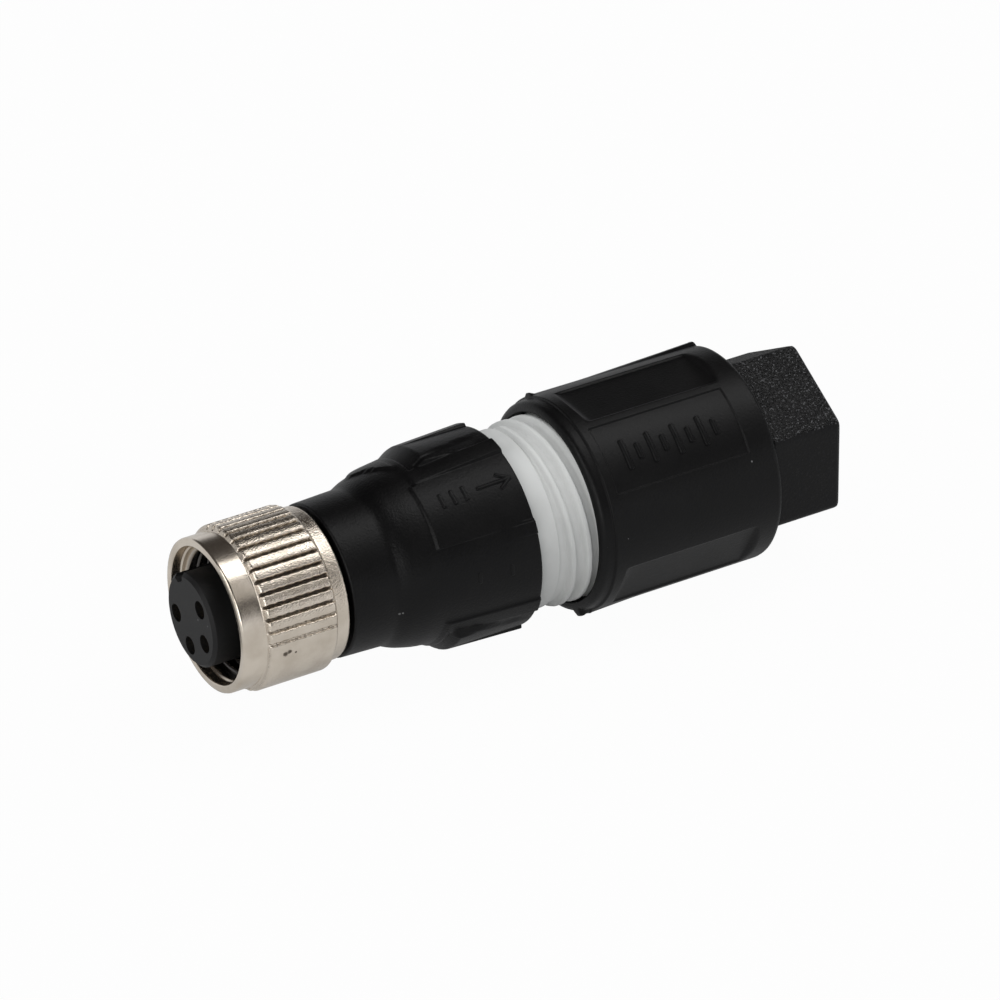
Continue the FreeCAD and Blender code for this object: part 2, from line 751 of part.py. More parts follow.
soften(gripBody, "HexCorners", "Fillet", "hex_corner_round", onHexCorner)
soften(gripBody, "HexEnd", "Chamfer", "hex_end_chamfer", onHexEnd)
turn(gripBody, "BoreCut", [
    ("grip_front", "0"),
    ("grip_front", gripBore + " + grip_mouth_chamfer"),
    ("grip_front + grip_mouth_chamfer", gripBore),
    ("snap_rib_start - snap_rib_length", gripBore),
    ("snap_rib_start", gripBore + " - snap_rib_height"),
    ("snap_rib_start + snap_rib_length", gripBore + " - snap_rib_height"),
    ("snap_rib_start + snap_rib_length", gripBore),
    ("thrust_face", gripBore),
    ("thrust_face", "cone_mouth_radius"),
    ("cone_waist", "cone_waist_radius"),
    ("cone_end", "cone_end_radius"),
    ("cone_end", "cable_bore_radius"),
    (hexEnd + " - cable_bore_chamfer", "cable_bore_radius"),
    (hexEnd, "cable_bore_radius + cable_bore_chamfer"),
    (hexEnd, "0"),
])
helix(gripBody, "InnerThread", [
    ("inner_thread_start - inner_thread_root_half_width", gripBore + " + thread_root_sink"),
    ("inner_thread_start + inner_thread_root_half_width", gripBore + " + thread_root_sink"),
    ("inner_thread_start + inner_thread_tip_half_width", "thread_core_radius + thread_play"),
    ("inner_thread_start - inner_thread_tip_half_width", "thread_core_radius + thread_play"),
], "inner_thread_length", "thread_start_angle")

# Wire guide: slides in the threaded sleeve and holds the four wires over the forks
guideBody = newBody("wire_guide")
turn(guideBody, "GuideBlank", [
    ("guide_front", "0"),
    ("guide_front", guideRadius),
    ("guide_rear", guideRadius),
    ("guide_rear", "guide_cup_radius"),
    ("guide_floor", "guide_cup_radius"),
    ("guide_floor", "0"),
])
extrude(guideBody, "ForkSlotCut", slotLoops("guide_slot_width", "guide_slot_thickness"),
        "guide_front", "guide_front + guide_slot_depth")
wireHoles = []
notches = []
for number in range(1, 5):
    across, up = turned("0", "wire_hole_circle", contactAngle(number))
    wireHoles.append((across, up, "wire_hole_radius"))
    half = "wire_notch_width / 2"
    notches.append([
        turned("0 - " + half, "wire_notch_foot", contactAngle(number)),
        turned(half, "wire_notch_foot", contactAngle(number)),
        turned(half, "sleeve_bore_radius", contactAngle(number)),
        turned("0 - " + half, "sleeve_bore_radius", contactAngle(number)),
    ])
extrude(guideBody, "WireHoleCut", [], "guide_front", "guide_floor", wireHoles)
extrude(guideBody, "WireNotchCut", notches, "guide_front", "guide_front + wire_notch_depth")

# Cable seal: rubber tube with sealing lips, in the cup of the wire guide
cableSeal = newBody("cable_seal")
sealStart = "guide_floor + seat_gap"
sealCorners = [
    (sealStart, sealRadius),
    ("seal_end", sealRadius),
    ("seal_end", "seal_lip_radius"),
]
for number in range(sizes["seal_lips"]):
    lip = "seal_end - {} * ( seal_end - guide_floor ) / seal_lips - seal_lip_margin".format(number)
    sealCorners.append((lip, "seal_lip_radius"))
    sealCorners.append((lip + " - seal_lip_slope", "seal_bore_radius"))
    sealCorners.append((lip + " - seal_lip_slope - seal_lip_width", "seal_bore_radius"))
    sealCorners.append((lip + " - 2 * seal_lip_slope - seal_lip_width", "seal_lip_radius"))
sealCorners.append((sealStart, "seal_lip_radius"))
turn(cableSeal, "Seal", sealCorners)

# Clamping cage: fingers that the nut's cone presses on the cable
cageBody = newBody("clamp_cage")
cageStart = "guide_rear + seat_gap"
flangeRear = cageStart + " + cage_flange_thickness"
turn(cageBody, "CageBlank", [
    (cageStart, cageBore),
    (cageStart, cageFlange),
    (flangeRear, cageFlange),
    (flangeRear, cageShoulder),
    ("cone_waist", "cone_waist_radius - cage_play"),
    ("cage_end", "cone_end_radius - cage_play"),
    ("cage_end", "cage_lip_radius"),
    ("cage_lip_start", "cage_lip_radius"),
    ("cage_lip_start", cageBore),
])
slot = extrude(cageBody, "FingerSlotCut", [[
    ("cage_lip_radius / 2", "0 - cage_slot_width / 2"),
    (cageFlange, "0 - cage_slot_width / 2"),
    (cageFlange, "cage_slot_width / 2"),
    ("cage_lip_radius / 2", "cage_slot_width / 2"),
]], "cage_slot_start", "cage_end")
repeat(cageBody, "Fingers", slot, "cage_fingers", "360")

# Slip ring: lets the nut turn on the cage without twisting the cable
slipBody = newBody("slip_ring")
slipStart = flangeRear + " + seat_gap"
slipEnd = slipStart + " + slip_ring_thickness"
turn(slipBody, "Ring", [
    (slipStart, cageShoulder + " + slip_ring_play"),
    (slipStart, cageFlange),
    (slipEnd, cageFlange),
    (slipEnd, cageShoulder + " + slip_ring_play"),
])

doc.recompute()
for item in doc.Objects:
    if "Invalid" in item.State or "Error" in item.State:
        raise RuntimeError("cannot build " + item.Name)

bodies = [item for item in doc.Objects if item.TypeId == "PartDesign::Body"]
os.makedirs("parts", exist_ok=True)
for body in bodies:
    shape = body.Shape
    if shape.isNull() or not shape.isValid():
        raise RuntimeError("bad shape in " + body.Label)
    shape.exportStep("parts/" + body.Label + ".step")
    print(body.Label, len(shape.Solids), round(shape.Volume, 2))
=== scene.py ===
import math

import bpy
import numpy as np
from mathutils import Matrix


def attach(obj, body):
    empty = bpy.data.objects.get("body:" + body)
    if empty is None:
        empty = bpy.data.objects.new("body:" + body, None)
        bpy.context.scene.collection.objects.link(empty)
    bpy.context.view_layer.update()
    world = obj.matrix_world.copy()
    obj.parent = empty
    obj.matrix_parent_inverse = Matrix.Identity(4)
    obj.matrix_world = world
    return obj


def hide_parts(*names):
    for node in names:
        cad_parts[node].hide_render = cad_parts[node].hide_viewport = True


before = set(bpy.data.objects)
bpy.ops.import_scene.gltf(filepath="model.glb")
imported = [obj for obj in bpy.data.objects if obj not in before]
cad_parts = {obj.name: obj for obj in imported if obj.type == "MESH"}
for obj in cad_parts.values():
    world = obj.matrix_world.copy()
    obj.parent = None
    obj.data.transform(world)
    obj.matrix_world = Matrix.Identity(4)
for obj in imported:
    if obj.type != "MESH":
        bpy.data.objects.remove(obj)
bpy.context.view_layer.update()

mm = 0.001
print("frame loaded:", len(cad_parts), "nodes")

# Lengths below are millimetres and angles are degrees round the axis, counted in the
# pieces' own frame, where the key is at 90. The connector lies rolled by this angle.
rollAngle = -31.5


# A vertex at distance r from the axis and angle a: y = r cos(a + roll), z = r sin(a + roll)
def wrapRound(x, r, angle):
    turn = np.radians(angle + rollAngle)
    x, r, turn = np.broadcast_arrays(x, r, turn)
    return np.stack((x, r * np.cos(turn), r * np.sin(turn)), axis=-1) * mm


# Six times the volume inside closed faces: the sum of a . (b x c) over their triangles
def sixVolumes(points, faces):
    corner = [points[faces[:, k]] for k in range(faces.shape[1])]
    pairs = zip(corner[1:-1], corner[2:])
    return sum(np.sum(corner[0] * np.cross(second, third)) for second, third in pairs)


def newPiece(name, points, faces):
    mesh = bpy.data.meshes.new(name)
    mesh.from_pydata(points.tolist(), [], faces)
    mesh.polygons.foreach_set("use_smooth", np.ones(len(faces), bool))
    mesh.update()
    piece = bpy.data.objects.new(name, mesh)
    bpy.context.scene.collection.objects.link(piece)
    return piece


# A volume below zero means that the faces are inside out
def meshFrom(name, points, faces):
    points = points.reshape(-1, 3)
    if sixVolumes(points, faces) < 0:
        faces = faces[:, ::-1]
    return newPiece(name, points, faces.tolist())


# Quads between each row and the next. Columns are closed to a ring, and rows where asked for.
def gridFaces(rows, columns, closeRows=True):
    i = np.arange(rows if closeRows else rows - 1)
    i, j = (side.ravel() for side in np.meshgrid(i, np.arange(columns), indexing="ij"))
    here = i * columns
    above = (i + 1) % rows * columns
    on = (j + 1) % columns
    return np.stack((here + j, here + on, above + on, above + j), axis=-1)


outlineRules = {
    "spacing": 0.4, "steps": 3,  # of points on a straight, and per rounded corner
    "sideShare": 0.45,  # most of a side that one rounding may take
    "edgeGap": 0.06, "edgeShare": 0.2,  # first and last point of a straight, from its ends
    "shortest": 1e-4,
}


# A closed outline whose corners are parabolas: (1-t)^2 start + 2t(1-t) corner + t^2 end.
# Each corner is (x, r, rounding) and may add the spacing of points on the straight that follows it.
def roundedOutline(corners, spacing=outlineRules["spacing"], steps=outlineRules["steps"]):
    rules = outlineRules
    gaps = [corner[3] if len(corner) > 3 else spacing for corner in corners]
    corners = np.array([corner[:3] for corner in corners], float)
    spot = corners[:, :2]
    reach = corners[:, 2:3]
    before = np.roll(spot, 1, axis=0) - spot
    after = np.roll(spot, -1, axis=0) - spot
    lengthBefore = np.linalg.norm(before, axis=1, keepdims=True)
    lengthAfter = np.linalg.norm(after, axis=1, keepdims=True)
    start = spot + before / lengthBefore * np.minimum(reach, rules["sideShare"] * lengthBefore)
    end = spot + after / lengthAfter * np.minimum(reach, rules["sideShare"] * lengthAfter)
    path = []
    for k in range(len(spot)):
        share = np.linspace(0, 1, steps + 1)[:, None] if reach[k, 0] > 0 else np.zeros((1, 1))
        path.append((1 - share) ** 2 * start[k] + 2 * share * (1 - share) * spot[k] + share ** 2 * end[k])
        follow = start[(k + 1) % len(spot)]
        gap = np.linalg.norm(follow - end[k])
        count = int(math.ceil(gap / gaps[k]))
        if count > 0:
            near = min(rules["edgeShare"], rules["edgeGap"] / gap)
            inner = np.linspace(0, 1, count + 1)[1:-1]
            share = np.unique(np.concatenate(([near, 1 - near], inner)))
            path.append(end[k] + (follow - end[k]) * share[:, None])
    path = np.concatenate(path)
    step = np.linalg.norm(path - np.roll(path, 1, axis=0), axis=1)
    return path[step > rules["shortest"]]


# Angles round the whole circle, closer together in the stretches given as (middle, half, spacing)
def spreadAngles(spacing, dense=(), closest=0.04):
    angles = [np.arange(0, 360, spacing)]
    for middle, half, close in dense:
        angles.append(np.arange(middle - half, middle + half, close) % 360)
    angles = np.unique(np.round(np.concatenate(angles), 3))
    return angles[np.append(np.diff(angles) > closest, True)]


# A ring-shaped piece: the outline turned round the axis, its radius changed by the shaper
def turnedPiece(name, outline, angle, shaper):
    x = outline[:, :1] + 0 * angle
    r = shaper(x, outline[:, 1:] + 0 * angle, angle[None, :] + 0 * x)
    print(name, "has", 2 * x.size, "triangles")
    return meshFrom(name, wrapRound(x, r, angle), gridFaces(len(outline), len(angle)))


def smoothStep(low, high, value):
    share = np.clip((value - low) / (high - low), 0, 1)
    return share * share * (3 - 2 * share)


# One below the limit and zero above it, eased over the blend
def below(value, limit, blend):
    return 1 - smoothStep(limit - blend, limit + blend, value)


# One between low and high and zero outside, eased over the blend
def within(value, low, high, blend):
    return smoothStep(low - blend, low + blend, value) * below(value, high, blend)


# The larger of two values, with the crease rounded over about the blend
def softMax(first, second, blend):
    return 0.5 * (first + second + np.sqrt((first - second) ** 2 + blend ** 2))


def softMin(first, second, blend):
    return 0.5 * (first + second - np.sqrt((first - second) ** 2 + blend ** 2))


# Signed difference of two angles, from -180 to 180
def angleFrom(angle, centre):
    return (angle - centre + 180) % 360 - 180


# The same without its sign, in radians, and held at the most degrees given
def turnAway(angle, centre, most):
    return np.radians(np.minimum(np.abs(angleFrom(angle, centre)), most))


# A line drawn on a turned surface: straight from point to point, each point (x, angle)
def markLine(points, radius, spacing=0.08, fewest=4):
    points = np.array(points, float)
    length = np.hypot(np.diff(points[:, 0]), np.radians(np.diff(points[:, 1])) * radius)
    along = np.concatenate(([0], np.cumsum(length)))
    spot = np.linspace(0, along[-1], max(fewest, int(along[-1] / spacing)))
    return np.interp(spot, along, points[:, 0]), np.interp(spot, along, points[:, 1])


# A rounded bead along a line on a turned surface: its section is half an ellipse above the
# surface and a flat foot sunk below it, and both of its ends taper to about a third
def wrappedBead(line, surface, width, height, sink=0.08, side=9, taperedTo=0.35):
    x, angle = line
    radius = surface(x, angle)
    arc = np.radians(angle) * radius
    alongX = np.gradient(x)
    alongArc = np.gradient(arc)
    length = np.hypot(alongX, alongArc)
    turn = np.linspace(0, np.pi, side)
    across = np.concatenate((width / 2 * np.cos(turn), [-width / 2, width / 2]))
    lift = np.concatenate((height * np.sin(turn), [-sink, -sink]))
    taper = np.ones(len(x))
    taper[0] = taper[-1] = taperedTo
    offset = taper[:, None] * across[None, :]
    pointX = x[:, None] - alongArc[:, None] / length[:, None] * offset
    pointArc = arc[:, None] + alongX[:, None] / length[:, None] * offset
    pointR = radius[:, None] + np.where(lift > 0, lift * taper[:, None], lift)
    points = wrapRound(pointX, pointR, np.degrees(pointArc / radius[:, None]))
    rows, columns = points.shape[:2]
    ends = np.stack((points[0].mean(axis=0), points[-1].mean(axis=0)))
    ring = np.arange(columns)
    on = (ring + 1) % columns
    last = (rows - 1) * columns
    firstCap = np.stack((on, ring, np.full(columns, rows * columns)), axis=-1)
    lastCap = np.stack((last + ring, last + on, np.full(columns, rows * columns + 1)), axis=-1)
    quads = gridFaces(rows, columns, closeRows=False)
    return np.concatenate((points.reshape(-1, 3), ends)), quads, np.concatenate((firstCap, lastCap))


# Several beads as one mesh, each turned inside out if its volume comes out below zero
def beadPiece(name, beads):
    points = []
    faces = []
    count = 0
    for beadPoints, quads, caps in beads:
        if sixVolumes(beadPoints, quads) + sixVolumes(beadPoints, caps) < 0:
            quads = quads[:, ::-1]
            caps = caps[:, ::-1]
        points.append(beadPoints)
        faces += (quads + count).tolist() + (caps + count).tolist()
        count += len(beadPoints)
    return newPiece(name, np.concatenate(points), faces)


# One output of a shader node. Arithmetic on it adds Math nodes.
class Wire:
    def __init__(self, sheet, socket):
        self.sheet = sheet
        self.socket = socket

    def maths(self, operation, first, second):
        return self.sheet.add("ShaderNodeMath", {"operation": operation}, {0: first, 1: second})

    def __add__(self, other):
        return self.maths("ADD", self, other)

    def __radd__(self, other):
        return self.maths("ADD", other, self)

    def __sub__(self, other):
        return self.maths("SUBTRACT", self, other)

    def __rsub__(self, other):
        return self.maths("SUBTRACT", other, self)

    def __mul__(self, other):
        return self.maths("MULTIPLY", self, other)

    def __rmul__(self, other):
        return self.maths("MULTIPLY", other, self)

    def __pow__(self, other):
        return self.maths("POWER", self, other)

    def __rpow__(self, other):
        return self.maths("POWER", other, self)

    def larger(self, other):
        return self.maths("MAXIMUM", self, other)


# The nodes of a material or of the world
class NodeSheet:
    def __init__(self, tree):
        self.tree = tree

    def join(self, target, value):
        if isinstance(value, Wire):
            self.tree.links.new(value.socket, target)
        else:
            target.default_value = value

    def add(self, kind, settings=None, inputs=None, output=0):
        node = self.tree.nodes.new(kind)
        for key, value in (settings or {}).items():
            setattr(node, key, value)
        for key, value in (inputs or {}).items():
            self.join(node.inputs[key], value)
        return Wire(self, node.outputs[output])

    def place(self, space="Object"):
        return self.add("ShaderNodeTexCoord", output=space)

    # The x, y and z of a place: the object's own are in metres
    def parts(self, space="Object"):
        node = self.add("ShaderNodeSeparateXYZ", inputs={0: self.place(space)}).socket.node
        return [Wire(self, socket) for socket in node.outputs]

    def noise(self, perMetre, detail=2.0, roughness=0.5):
        return self.add("ShaderNodeTexNoise", inputs={
            "Vector": self.place(), "Scale": perMetre, "Detail": detail, "Roughness": roughness})

    def mixColour(self, factor, first, second):
        return self.add("ShaderNodeMix", {"data_type": "RGBA"}, {0: factor, 6: first, 7: second}, 2)

    def step(self, value, low, high):
        return self.add("ShaderNodeMapRange", {"interpolation_type": "SMOOTHSTEP"}, {
            "Value": value, "From Min": low, "From Max": high, "To Min": 0.0, "To Max": 1.0})

    # A step between two lengths in millimetres
    def edge(self, value, low, high):
        return self.step(value, low * mm, high * mm)

    def mixShader(self, factor, first, second):
        return self.add("ShaderNodeMixShader", inputs={0: factor, 1: first, 2: second})

    # One for what the camera sees, also through glass, and the share given for reflections
    def seenRays(self, glossyShare):
        camera, glossy, through = (
            self.add("ShaderNodeLightPath", output="Is " + ray + " Ray")
            for ray in ("Camera", "Glossy", "Transmission"))
        return camera.larger(glossy * glossyShare).larger(through)


# A material with one Principled shader, and the nodes that feed it
class Paint(NodeSheet):
    def __init__(self, name):
        self.material = bpy.data.materials.new(name)
        self.material.use_nodes = True
        super().__init__(self.material.node_tree)
        self.shader = self.tree.nodes["Principled BSDF"]

    def bump(self, height, strength, distance):
        return self.add("ShaderNodeBump", inputs={
            "Height": height, "Strength": strength, "Distance": distance})

    # The first colour, clouding over to the second
    def clouded(self, cloud, first, second):
        return self.mixColour(self.step(cloud, 0.35, 0.75), first, second)

    def surface(self, **inputs):
        for key, value in inputs.items():
            self.join(self.shader.inputs[key.replace("_", " ")], value)
        return self.material


# Distance from the axis
def axisDistance(y, z):
    return (y * y + z * z) ** 0.5


# Height over the axis towards the key, as y cos(a) + z sin(a)
def keyHeight(y, z):
    turn = math.radians(90 + rollAngle)
    return y * math.cos(turn) + z * math.sin(turn)


speckRules = {"ragged": 1.2, "core": 0.55}  # shares of a speck's size


# Zero everywhere but near the specks, each (x, r, angle with the roll in it, size), whose edges
# the grain makes ragged
def speckMask(paint, specks, grain):
    rules = speckRules
    mask = 0.0
    for x, r, angle, size in specks:
        turn = math.radians(angle)
        middle = (x * mm, r * mm * math.cos(turn), r * mm * math.sin(turn))
        away = paint.add(
            "ShaderNodeVectorMath", {"operation": "DISTANCE"}, {0: paint.place(), 1: middle}, "Value")
        ragged = (grain - 0.5) * (rules["ragged"] * size * mm)
        mask = mask + (1 - paint.edge(away + ragged, rules["core"] * size, size))
    return mask


# Nickel plate on a rolled knurl: warm and grainy, with painted shade in its grooves and inside its bore,
# and dull specks
def nickelPaint():
    finish = {
        "bright": (0.79, 0.71, 0.61, 1), "dull": (0.64, 0.565, 0.47, 1),
        # groove is painted shade for the groove floors and also the dull specks' own colour; inside is
        # painted shade for the bore
        "groove": (0.11, 0.09, 0.07, 1), "inside": (0.11, 0.105, 0.10, 1),
        "rough": 0.135, "cloudRough": 0.10, "grainRough": 0.08, "grooveRough": 0.25, "speckRough": 0.2,
        "clouds": 300.0, "grains": 6500.0,  # per metre
        "grainDepth": 0.055, "grainStrength": 0.9,
        "smoothShare": 0.12, "grainFrom": (1.8, 2.6),
        "bandFrom": (2.15, 2.6), "bandTo": (8.7, 9.1), "outside": (6.6, 6.8),
        "grooveWall": (7.05, 7.3), "grooveRagged": 0.7, "grooveShadeShare": 0.9, "speckShare": 0.95,
        "mouth": (1.0, 1.6), "boreWall": (6.04, 6.14),
        "specks": [(3.75, 7.45, 187.5, 0.30), (4.15, 7.45, 186.5, 0.26), (4.75, 7.45, 188.5, 0.13)],
    }
    paint = Paint("nickelPlate")
    x, y, z = paint.parts()
    r = axisDistance(y, z)
    cloud = paint.noise(finish["clouds"], 3.0)
    grain = paint.noise(finish["grains"], 2.5, 0.6)
    onBand = paint.edge(x, *finish["bandFrom"]) * (1 - paint.edge(x, *finish["bandTo"]))
    outside = paint.edge(r, *finish["outside"])
    ragged = (grain - 0.5) * (finish["grooveRagged"] * mm)
    # Painted shade: the floors of the knurl's grooves are darkened, with ragged edges
    groove = onBand * outside * (1 - paint.edge(r + ragged, *finish["grooveWall"]))
    speck = speckMask(paint, finish["specks"], grain)
    colour = paint.clouded(cloud, finish["bright"], finish["dull"])
    # The dark colour is painted shade in the grooves, and the specks' own colour where the specks lie
    dark = groove * finish["grooveShadeShare"] + speck * finish["speckShare"]
    colour = paint.mixColour(dark, colour, finish["groove"])
    # Painted shade: past the mouth, everything inside the bore wall, the inner thread too, is darkened
    inside = paint.edge(x, *finish["mouth"]) * (1 - paint.edge(r, *finish["boreWall"]))
    colour = paint.mixColour(inside, colour, finish["inside"])
    rough = finish["rough"] + finish["cloudRough"] * cloud + finish["grainRough"] * grain
    rough = rough + finish["grooveRough"] * groove + finish["speckRough"] * speck
    smooth = finish["smoothShare"]
    coarse = outside * (smooth + (1 - smooth) * paint.edge(x, *finish["grainFrom"]))
    normal = paint.bump(grain * coarse, finish["grainStrength"], finish["grainDepth"] * mm)
    return paint.surface(Base_Color=colour, Metallic=1.0, Roughness=rough, Normal=normal)


# Moulded black plastic: nearly even satin skin with a fine spark-eroded grain. From coarseFrom
# on along the axis, where it is given, a coarser grain lies over it: strong on the key's side, which
# faces mostly up, and faint below, with painted highlights on its pale tips that are strongest on
# that upper side, and roughest on the hexagon's flat towards the key.
def blackPaint(name, rough, grainSize, grainDepth, coarseFrom=None, specks=(), gloss=0.20):
    finish = {
        "dark": (0.0012, 0.0012, 0.0014, 1), "worn": (0.0032, 0.0031, 0.0032, 1),
        "wear": (0.42, 0.78), "clouds": 170.0, "cloudRough": 0.12, "grainRough": 0.10,
        "coarseSize": 0.20, "coarseDepth": 0.13, "coarseEase": 0.1, "faintShare": 0.08,
        "coarseShine": 0.14, "tips": (0.55, 0.70), "glintColour": (0.085, 0.085, 0.088, 1),
        "keySide": (-0.1, 0.1), "keyFlat": (7.3, 7.45), "keyFlatRough": 0.35,
        "chalk": (0.16, 0.16, 0.16, 1), "chalkShare": 0.8,
    }
    paint = Paint(name)
    cloud = paint.noise(finish["clouds"], 4.0, 0.6)
    grain = paint.noise(1 / (grainSize * mm), 3.0, 0.55)
    colour = paint.mixColour(paint.step(cloud, *finish["wear"]), finish["dark"], finish["worn"])
    roughness = rough + finish["cloudRough"] * cloud + finish["grainRough"] * grain
    height = grain * grainDepth
    if coarseFrom:
        x, y, z = paint.parts()
        towardsKey = keyHeight(y, z)
        coarse = paint.noise(1 / (finish["coarseSize"] * mm), 2.0, 0.6)
        ease = finish["coarseEase"]
        faint = finish["faintShare"]
        there = paint.edge(x, coarseFrom - ease, coarseFrom + ease)
        there = there * (faint + (1 - faint) * paint.edge(towardsKey, *finish["keySide"]))
        height = height + coarse * there * finish["coarseDepth"]
        onFlat = there * paint.edge(towardsKey, *finish["keyFlat"])
        roughness = roughness - finish["coarseShine"] * there + finish["keyFlatRough"] * onFlat
        # Painted highlight: the coarse grain's tips are made pale, most on the key's side, which faces
        # mostly up
        colour = paint.mixColour(there * paint.step(coarse, *finish["tips"]), colour, finish["glintColour"])
    if specks:
        fleck = speckMask(paint, specks, grain)
        colour = paint.mixColour(fleck * finish["chalkShare"], colour, finish["chalk"])
    return paint.surface(Base_Color=colour, Roughness=roughness, Specular_IOR_Level=gloss,
                         Normal=paint.bump(height, 1.0, mm))


# Plain mouldings and rubber: satin, with a very soft cloud and a fine grain
def plainPaint(name, light, shade, rough, clouds=500.0, cloudRough=0.12, grains=7000.0, strength=0.4,
               gloss=0.5):
    grainDepth = 0.01
    paint = Paint(name)
    cloud = paint.noise(clouds, 3.0)
    colour = paint.clouded(cloud, light, shade)
    normal = paint.bump(paint.noise(grains), strength, grainDepth * mm)
    return paint.surface(Base_Color=colour, Roughness=rough + cloudRough * cloud,
                         Specular_IOR_Level=gloss, Normal=normal)


# Bare metals inside: gold flash, tinned bronze and spring steel
def metalPaint(name, bright, dull, rough):
    clouds, cloudRough = 900.0, 0.15
    paint = Paint(name)
    cloud = paint.noise(clouds, 3.0)
    colour = paint.clouded(cloud, bright, dull)
    return paint.surface(Base_Color=colour, Metallic=1.0, Roughness=rough + cloudRough * cloud)


# Specks of chalky dust, each (x, r, angle with the roll in it, size)
bodySpecks = [(15.1, 7.15, 186.9, 0.14), (15.4, 7.2, 186.5, 0.11), (24.9, 8.95, 138.6, 0.13)]
gripSpecks = [
    (49.1, 9.7, 150.1, 0.12), (34.5, 9.6, 174.8, 0.07), (36.5, 9.85, 172.6, 0.06),
    (49.8, 9.85, 153.3, 0.10),
]
faceSpecks = [(-1.4, 1.6, 148.5, 0.09), (-1.4, 3.3, 160.0, 0.08)]

nickel = nickelPaint()
blackSkin = blackPaint("blackBodyPlastic", 0.29, 0.20, 0.036, specks=bodySpecks)
blackGrip = blackPaint("blackGripPlastic", 0.30, 0.22, 0.022, coarseFrom=52.8, specks=gripSpecks)
blackFace = blackPaint("blackInsertPlastic", 0.45, 0.14, 0.008, specks=faceSpecks, gloss=0.36)
lightGrey = plainPaint("lightGreyPlastic", (0.57, 0.575, 0.56, 1), (0.51, 0.515, 0.50, 1), 0.45,
                       clouds=240.0, cloudRough=0.1, grains=6000.0, strength=0.3, gloss=0.35)
gold = metalPaint("goldContact", (0.85, 0.62, 0.28, 1), (0.66, 0.46, 0.2, 1), 0.25)
tin = metalPaint("tinnedFork", (0.72, 0.70, 0.66, 1), (0.58, 0.56, 0.52, 1), 0.35)
spring = metalPaint("springSteel", (0.56, 0.56, 0.57, 1), (0.42, 0.42, 0.43, 1), 0.3)
rubber = plainPaint("blackRubber", (0.02, 0.02, 0.02, 1), (0.03, 0.03, 0.03, 1), 0.6)
innerGrey = plainPaint("innerGreyPlastic", (0.5, 0.5, 0.5, 1), (0.44, 0.44, 0.44, 1), 0.45)
innerWhite = plainPaint("innerWhitePlastic", (0.7, 0.7, 0.68, 1), (0.62, 0.62, 0.6, 1), 0.45)
innerBlack = plainPaint("innerBlackPlastic", (0.02, 0.02, 0.021, 1), (0.03, 0.03, 0.031, 1), 0.45)


def paintPiece(piece, material, body):
    piece.data.materials.clear()
    piece.data.materials.append(material)
    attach(piece, body)


print("materials made")

nutSizes = {
    "length": 10.4, "frontRadius": 6.95, "rearRadius": 6.9, "mouthRadius": 6.2, "mouthDepth": 0.9,
    "threadFront": 1.1, "threadRadius": 6.0, "flangeFront": 8.7, "flangeBore": 5.16,
    "bandStart": 2.2, "bandEnd": 9.1, "bandRadius": 7.45, "bandRamp": 0.28,
    "grooveFloor": 7.0, "groovePitch": 9.0, "grooves": 14, "sectorMiddle": 151.0, "sectorHalf": 64.0,
    "grooveWall": (0.04, 0.21), "arch": 0.025, "archEdge": (0.5, 0.15),
    "shallowDepth": 0.4, "shallowGrooves": 4,
    "wander": ((0.03, 7.1, 2.3), (0.02, 13.7, 4.1)),  # each reach, pace along x, shift per groove
}


# Knurl: near each groove's centre the radius falls to the floor, over a soft shoulder, and the
# land between two grooves is a low arch. The grooves fill two sectors, half a turn apart, and
# the last ones of a sector are shallow. Their walls wander by sines along x.
def nutRadius(x, r, angle):
    size = nutSizes
    pitch = size["groovePitch"]
    halfCount = size["grooves"] / 2
    side = angleFrom(angle, size["sectorMiddle"])
    side = np.where(np.abs(side) > 90, angleFrom(angle, size["sectorMiddle"] + 180), side)
    place = side + pitch / 2
    nearest = (place + pitch / 2) % pitch - pitch / 2
    number = np.round((place - nearest) / pitch)
    inSector = np.abs(side) < halfCount * pitch
    away = np.where(inSector, np.abs(np.radians(nearest)) * size["bandRadius"], 1.0)
    wander = sum(reach * np.sin(pace * x + shift * number) for reach, pace, shift in size["wander"])
    cut = 1 - smoothStep(*size["grooveWall"], away + wander * inSector)
    full = smoothStep(halfCount, halfCount - size["shallowGrooves"], number - 0.5)
    cut = cut * (size["shallowDepth"] + (1 - size["shallowDepth"]) * full)
    arch = size["arch"] * smoothStep(*size["archEdge"], away) * inSector
    onBand = (r > size["grooveFloor"]) * smoothStep(size["grooveFloor"], size["bandRadius"], r)
    return r - onBand * (cut * (size["bandRadius"] - size["grooveFloor"]) + arch)


def nutOutline():
    size = nutSizes
    return roundedOutline([
        (0.0, size["mouthRadius"], 0.12),
        (0.0, size["frontRadius"], 0.22),
        (size["bandStart"] - 0.02, size["frontRadius"], 0.05),
        (size["bandStart"] + size["bandRamp"], size["bandRadius"], 0.16, 0.22),
        (size["bandEnd"] - size["bandRamp"], size["bandRadius"], 0.16),
        (size["bandEnd"] + 0.02, size["rearRadius"], 0.05),
        (size["length"], size["rearRadius"], 0.22),
        (size["length"], size["flangeBore"], 0.12, 1.7),
        (size["flangeFront"], size["flangeBore"], 0.05),
        (size["flangeFront"], size["threadRadius"], 0.05, 2.5),
        (size["threadFront"], size["threadRadius"], 0.05),
        (size["mouthDepth"], size["mouthRadius"], 0.05),
    ], spacing=0.6, steps=2)


sectors = [(nutSizes["sectorMiddle"] + turn, nutSizes["sectorHalf"], 1 / 3) for turn in (0, 180)]
nut = turnedPiece("knurledNut", nutOutline(), spreadAngles(1.0, sectors), nutRadius)
paintPiece(nut, nickel, "coupling")
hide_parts("coupling_nut")

threadSizes = {
    "lead": 1.0, "start": 1.3, "turns": 7.0, "root": 6.03, "crest": 5.46, "half": 0.44, "flat": 0.07,
    "stepsPerTurn": 96, "runOut": 0.15, "endHeight": 0.05,
}


